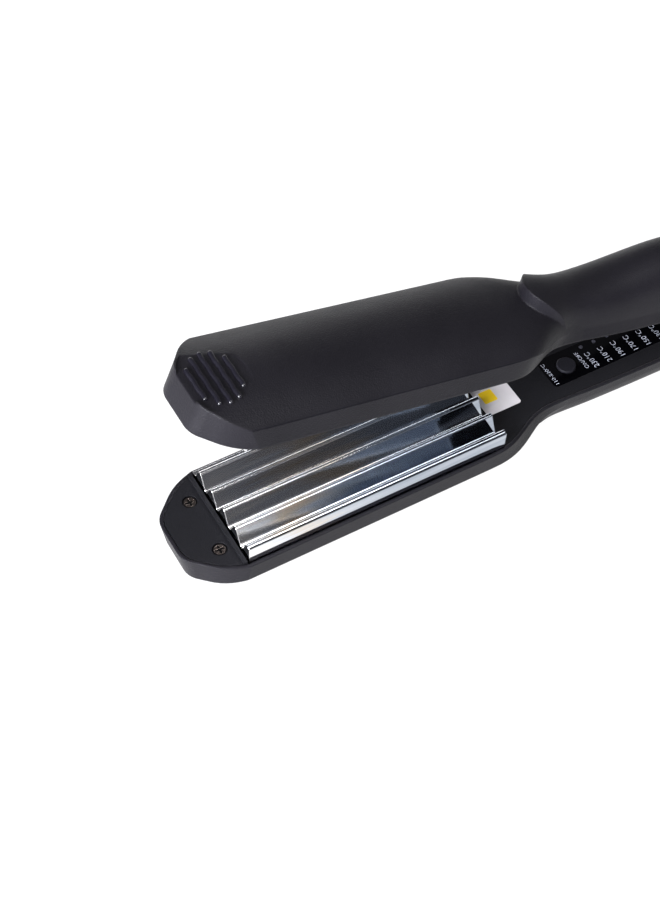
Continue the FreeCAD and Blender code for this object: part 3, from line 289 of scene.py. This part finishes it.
def make_materials():
    """Finish of each material slot of the record, and of the scene's own pieces."""
    steel = polished_metal("steel", (0.5, 0.5, 0.52), (0.66, 0.66, 0.68), (0.22, 0.34))
    return {
        # Arms
        "charcoal_shell": plastic("charcoal", (16, 15, 19), (25, 24, 28), (0.36, 0.46),
                                  edge=1.0 * MM),
        "inner_black": plastic("inner_charcoal", (12, 12, 15), (20, 20, 23), (0.46, 0.56),
                               edge=0.2 * MM),
        "rib_charcoal": plastic("rib_charcoal", (13, 12, 18), (20, 19, 26), (0.2, 0.28),
                                grain=0.1, shine=0.5),
        # Painted shade: the dark strip under the long edges of the upper arm's crown
        "edge_shade": plastic("edge_shade", (14, 14, 17), (20, 20, 24), (0.75, 0.85),
                              grain=0.1, shine=0.02),
        "dark_screw": polished_metal("dark_screw", (0.1, 0.08, 0.075), (0.3, 0.25, 0.22),
                                     (0.2, 0.32), edge=0.3 * MM),
        # Painted shade in the screws' cross recesses and round their heads
        "screw_shade": polished_metal("screw_shade", (0.006, 0.006, 0.007),
                                      (0.014, 0.013, 0.013), (0.4, 0.55)),
        "pin_steel": steel,
        "washer_white": plastic("washer", (214, 214, 208), (228, 228, 224), (0.4, 0.5),
                                grain=0.1),
        # Plates and what lies under them
        "bright_plate": mirror_plate(),
        "carrier": plastic("carrier", (60, 58, 58), (76, 74, 72), (0.5, 0.62)),
        "ceramic": plastic("ceramic", (214, 210, 200), (232, 229, 220), (0.55, 0.7)),
        "spring_steel": steel,
        "sensor_glass": plastic("sensor", (150, 80, 40), (180, 100, 55), (0.2, 0.3),
                                grain=0.05),
        "cutout_case": steel,
        # Control panel and electronics
        "panel_gloss": glossy_panel(),
        "button_black": plastic("button", (20, 20, 24), (28, 28, 33), (0.42, 0.52),
                                grain=0.35),
        "light_rod": plastic("light_rod", (52, 52, 58), (66, 66, 74), (0.12, 0.2),
                             grain=0.05),
        "lamp_chip": plastic("lamp_chip", (236, 228, 180), (246, 240, 205), (0.3, 0.4),
                             grain=0.05),
        "board_green": plastic("board", (20, 96, 48), (30, 116, 60), (0.3, 0.4), grain=0.1),
        "switch_case": plastic("switch", (40, 40, 42), (54, 54, 56), (0.4, 0.5), grain=0.1),
        "chip_black": plastic("chip", (34, 34, 36), (46, 46, 48), (0.45, 0.6), grain=0.2),
        "capacitor_case": plastic("capacitor", (206, 160, 44), (224, 180, 60), (0.25, 0.35),
                                  grain=0.05),
        # Label and print
        "label_white": printed_film("label_white", (190, 186, 188), (200, 196, 198)),
        "label_yellow": printed_film("label_yellow", (226, 186, 14), (240, 204, 28)),
        "print_white": printed_film("print_white", (150, 155, 166), (176, 180, 190)),
    }


def dress_nodes(materials):
    """Give each node of the model its finish."""
    for entry in frame["record"]["subparts"]:
        thing = frame["nodes"][entry["node"]]
        for slot in thing.material_slots:
            slot.material = materials[entry["material_slot"]]


# Pieces


def make_piece(name, vertices, faces, body, material):
    """Mesh piece that rides on a body, with the finish it is given."""
    mesh = bpy.data.meshes.new(name)
    mesh.from_pydata(vertices, [], faces)
    mesh.materials.append(material)
    piece = bpy.data.objects.new(name, mesh)
    bpy.context.collection.objects.link(piece)
    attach(piece, body)
    return piece


def on_arm(arm, x, y, z):
    """Place in metres of a point on an arm.

    The point is in millimetres: x from the plate's front to the rear, y from the arm's
    middle, and z from the rim into the arm, which is down in the lower arm and up in the
    upper one.
    """
    if arm == "lower":
        return (PLATE_FRONT + x) * MM, y * MM, (LOWER_RIM - z) * MM
    along = PLATE_FRONT + x - HINGE_X
    above = UPPER_RIM + z - HINGE_Z
    turn = math.radians(OPEN_ANGLE)
    return ((HINGE_X + along * math.cos(turn) + above * math.sin(turn)) * MM, y * MM,
            (HINGE_Z - along * math.sin(turn) + above * math.cos(turn)) * MM)


def circle(radius, count):
    """Points round a circle about the origin."""
    angles = [2 * math.pi * turn / count for turn in range(count)]
    return [(radius * math.cos(angle), radius * math.sin(angle)) for angle in angles]


def band_faces(first, second, count):
    """Faces between two rings of corners, from the number of each ring's first corner."""
    following = [(turn + 1) % count for turn in range(count)]
    return [(first + turn, first + following[turn], second + following[turn], second + turn)
            for turn in range(count)]


def add_thumb_ribs(materials):
    """Soft ribs with round ends over the thumb rest's moulded ribs."""
    radius = 0.95
    lift = 0.05
    past_end = 0.3
    sway = 0.12
    steps = 40
    around = 12
    vertices, faces = [], []
    for index in range(RIB_COUNT):
        away = (index - (RIB_COUNT - 1) / 2) * RIB_PITCH
        half = RIB_HALF_SPAN * math.sqrt(1 - (away / RIB_REACH) ** 2) + past_end
        height = THUMB_REST_HEIGHT + away * math.tan(math.radians(THUMB_REST_SLOPE)) + lift
        for step in range(steps + 1):
            # Rings crowd towards the ends, so that the ends come out round
            y = -half * math.cos(math.pi * step / steps)
            past = max(abs(y) - (half - radius), 0) / radius
            ring = radius * math.sqrt(max(1 - past ** 2, 0.0001))
            x = THUMB_REST_MIDDLE + away + sway * math.sin(0.9 * y + 1.7 * index)
            vertices += [on_arm("upper", x + a, y, height + b) for a, b in circle(ring, around)]
            if step < steps:
                faces += band_faces(len(vertices) - around, len(vertices), around)
    ribs = make_piece("thumb_ribs", vertices, faces, "upper_arm", materials["rib_charcoal"])
    for face in ribs.data.polygons:
        face.use_smooth = True


def add_painted_edge_shade(materials):
    """Fine dark line under each long edge of the upper arm's crown, painted shade of the crease there."""
    # Place of the line's upper side, and its width
    line = ((-3.8, 22.1, 8.3, 0.2), (2.0, 22.1, 8.3, 0.5), (98.0, 22.1, 8.27, 0.5),
            (101.8, 22.1, 8.27, 0.46), (105.4, 22.03, 8.18, 0.32), (108.0, 21.86, 8.02, 0.1))
    lift = 0.03
    lean = 0.17
    vertices, faces = [], []
    for side in (-1, 1):
        first = len(vertices)
        for x, y, z, wide in line:
            vertices.append(on_arm("upper", x, side * (y + lift), z))
            vertices.append(on_arm("upper", x, side * (y + lift + lean * wide), z - wide))
        for step in range(first, len(vertices) - 2, 2):
            faces.append((step, step + 1, step + 3, step + 2)[::side])
    make_piece("painted_edge_shade", vertices, faces, "upper_arm", materials["edge_shade"])


def cross_outline(length, width):
    """Corners of a cross about the origin."""
    quarter = [(length / 2, -width / 2), (length / 2, width / 2), (width / 2, width / 2)]
    corners = []
    for _ in range(4):
        corners += quarter
        quarter = [(-y, x) for x, y in quarter]
    return corners


def add_screw_shades(materials):
    """Painted shade: a dark cross in each screw's recess, and a dark rim around its head."""
    cross_sunk = 0.2
    rim_lift = 0.02
    rim_width = 0.45
    around = 48
    for kind in ("nose", "cover"):
        low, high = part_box("lower_%s_screws" % kind)
        x = (low[0] + high[0]) / 2 / MM - PLATE_FRONT
        side = high[1] / MM - SCREW_HEAD_RADIUS
        head = LOWER_RIM - high[2] / MM
        for arm in ("lower", "upper"):
            vertices, faces = [], []
            for y in (-side, side):
                cross = cross_outline(CROSS_LENGTH, CROSS_WIDTH)
                faces.append(range(len(vertices), len(vertices) + len(cross)))
                vertices += [on_arm(arm, x + a, y + b, head + cross_sunk) for a, b in cross]
                faces += band_faces(len(vertices) + around, len(vertices), around)
                for radius in (SCREW_HEAD_RADIUS - rim_width, SCREW_HEAD_RADIUS):
                    vertices += [on_arm(arm, x + a, y + b, head - rim_lift)
                                 for a, b in circle(radius, around)]
            make_piece("%s_%s_screw_shades" % (arm, kind), vertices, faces, arm + "_arm",
                       materials["screw_shade"])


# Printing


def print_words(name, words, middle, size, level, material):
    """Words printed on the lower arm, read from its near side with their tops to the plates.

    The middle is a place on the arm, and the size is the words' own length and height.
    """
    curve = bpy.data.curves.new(name, "FONT")
    curve.body = words
    curve.resolution_u = 3
    source = bpy.data.objects.new(name + "_outline", curve)
    bpy.context.collection.objects.link(source)
    bpy.context.view_layer.update()
    mesh = bpy.data.meshes.new_from_object(source)
    bpy.data.objects.remove(source)
    xs = [vertex.co.x for vertex in mesh.vertices]
    ys = [vertex.co.y for vertex in mesh.vertices]
    wide = max(xs) - min(xs)
    tall = max(ys) - min(ys)
    left = min(xs)
    foot = min(ys)
    corners = []
    for x, y in zip(xs, ys):
        along = ((x - left) / wide - 0.5) * size[0]
        up = ((y - foot) / tall - 0.5) * size[1]
        corners.append(((middle[0] - up) * MM, (middle[1] + along) * MM, level))
    faces = [tuple(face.vertices) for face in mesh.polygons]
    bpy.data.meshes.remove(mesh)
    make_piece(name, corners, faces, "lower_arm", material)


def print_panel(materials):
    """Temperatures beside the lights, words by the button and the range along the front."""
    panel_low, panel_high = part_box("control_panel")
    lights_low, lights_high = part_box("temperature_lights")
    level = panel_high[2] + PRINT_LIFT * MM
    white = materials["print_white"]
    by_lights = -2.2
    by_button = -0.6
    first = lights_low[0] / MM + LIGHT_RADIUS
    last = lights_high[0] / MM - LIGHT_RADIUS
    pitch = (last - first) / (LIGHT_COUNT - 1)
    for index in range(LIGHT_COUNT):
        degrees = HOTTEST - index * (HOTTEST - COOLEST) // (LIGHT_COUNT - 1)
        print_words("temperature_%d" % degrees, "%d°C" % degrees,
                    (first + pitch * index, by_lights), (7.9, 2.3), level, white)
    print_words("switch_words", "ON/OFF", (first - 3.6, by_button), (8.6, 1.7), level, white)
    print_words("range_words", "%d-%d°C" % (COOLEST, HOTTEST),
                (panel_low[0] / MM + 1.7, by_button), (11.0, 1.5), level, white)


def rounded_patch(low, high, radius, level, steps=6):
    """Corners of a rectangle with round corners, at a level."""
    corners = []
    for turn, (x, y) in enumerate(((high[0], high[1]), (low[0], high[1]), (low[0], low[1]),
                                   (high[0], low[1]))):
        inner = (x - radius if x == high[0] else x + radius,
                 y - radius if y == high[1] else y + radius)
        for step in range(steps + 1):
            angle = math.pi / 2 * (turn + step / steps)
            corners.append((inner[0] + radius * math.cos(angle),
                            inner[1] + radius * math.sin(angle), level))
    return corners


def print_label(materials):
    """Plain yellow patch on the blank label."""
    inset = 2.2 * MM
    length = 5.6 * MM
    near_side = -1.5 * MM
    far_side = 4.3 * MM
    corner = 0.6 * MM
    low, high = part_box("blank_label")
    front = low[0] + inset
    outline = rounded_patch((front, near_side), (front + length, far_side), corner,
                            high[2] + PRINT_LIFT * MM)
    make_piece("label_patch", outline, [range(len(outline))], "lower_arm",
               materials["label_yellow"])


# Studio


def grey(level):
    """Opaque grey of this level."""
    return level, level, level, 1


def add_floor():
    """Pale floor that shows white to the camera and in reflections, and keeps the shadow."""
    half_width = 40.0
    mesh = bpy.data.meshes.new("floor")
    mesh.from_pydata([(-half_width, -half_width, 0), (half_width, -half_width, 0),
                      (half_width, half_width, 0), (-half_width, half_width, 0)],
                     [], [(0, 1, 2, 3)])
    floor = bpy.data.objects.new("floor", mesh)
    floor.location.z = -0.2 * MM
    bpy.context.collection.objects.link(floor)
    nodes = material_nodes("floor")
    path = nodes.add("ShaderNodeLightPath").outputs
    mirrored = nodes.larger(path["Is Glossy Ray"], path["Is Transmission Ray"])
    seen = nodes.larger(path["Is Camera Ray"], mirrored)
    plain = nodes.add("ShaderNodeBsdfDiffuse")
    plain.inputs["Color"].default_value = grey(0.6)
    lit = nodes.add("ShaderNodeBsdfDiffuse")
    lit.inputs["Color"].default_value = grey(0.1)
    glow = nodes.add("ShaderNodeEmission")
    glow.inputs["Strength"].default_value = 0.93
    white = nodes.add("ShaderNodeAddShader")
    nodes.join(lit.outputs[0], white.inputs[0])
    nodes.join(glow.outputs[0], white.inputs[1])
    choose = nodes.add("ShaderNodeMixShader")
    nodes.join(seen, choose.inputs[0])
    nodes.join(plain.outputs[0], choose.inputs[1])
    nodes.join(white.outputs[0], choose.inputs[2])
    mesh.materials.append(nodes.finish(choose.outputs[0]))


def add_world():
    """Grey surroundings, bright along the horizon and dim higher up."""
    nodes = Nodes(bpy.data.worlds.new("studio"), "ShaderNodeOutputWorld")
    stops = [(0.0, 0.5), (0.12, 0.36), (0.4, 0.11), (0.7, 0.09), (1.0, 0.2)]
    blue_gain = 1.08
    colour = nodes.ramp(nodes.split(nodes.place("Generated"), "Z"),
                        [(height, (level, level, level * blue_gain)) for height, level in stops])
    background = nodes.add("ShaderNodeBackground")
    nodes.join(colour, background.inputs["Color"])
    bpy.context.scene.world = nodes.finish(background.outputs[0])


def add_lamp(name, place, size, watts, colour=(1, 1, 1)):
    """Soft rectangular lamp that points near the middle of the object."""
    data = bpy.data.lights.new(name, "AREA")
    data.shape = "RECTANGLE"
    data.size, data.size_y = size
    data.energy = watts
    data.color = colour
    lamp = bpy.data.objects.new(name, data)
    lamp.location = place
    aim = Vector((-0.03, 0, 0.04)) - Vector(place)
    lamp.rotation_euler = aim.to_track_quat("-Z", "Y").to_euler()
    bpy.context.collection.objects.link(lamp)


def add_lamps():
    add_lamp("front", (-0.95, -0.3, 0.4), (0.8, 0.6), 56, (0.93, 0.94, 1))
    add_lamp("near", (0.2, -0.5, 1.3), (0.7, 0.5), 11)
    add_lamp("top", (-0.45, -0.1, 1.3), (0.8, 0.8), 7)
    add_lamp("crest", (0.42, -0.1, 1.15), (0.3, 0.3), 1)
    add_lamp("far", (0.1, 1.2, 0.3), (1.2, 0.3), 5)


add_camera()
finishes = make_materials()
dress_nodes(finishes)
add_thumb_ribs(finishes)
add_painted_edge_shade(finishes)
add_screw_shades(finishes)
print_panel(finishes)
print_label(finishes)
add_floor()
add_world()
add_lamps()

view = bpy.context.scene.view_settings
view.view_transform = "Standard"
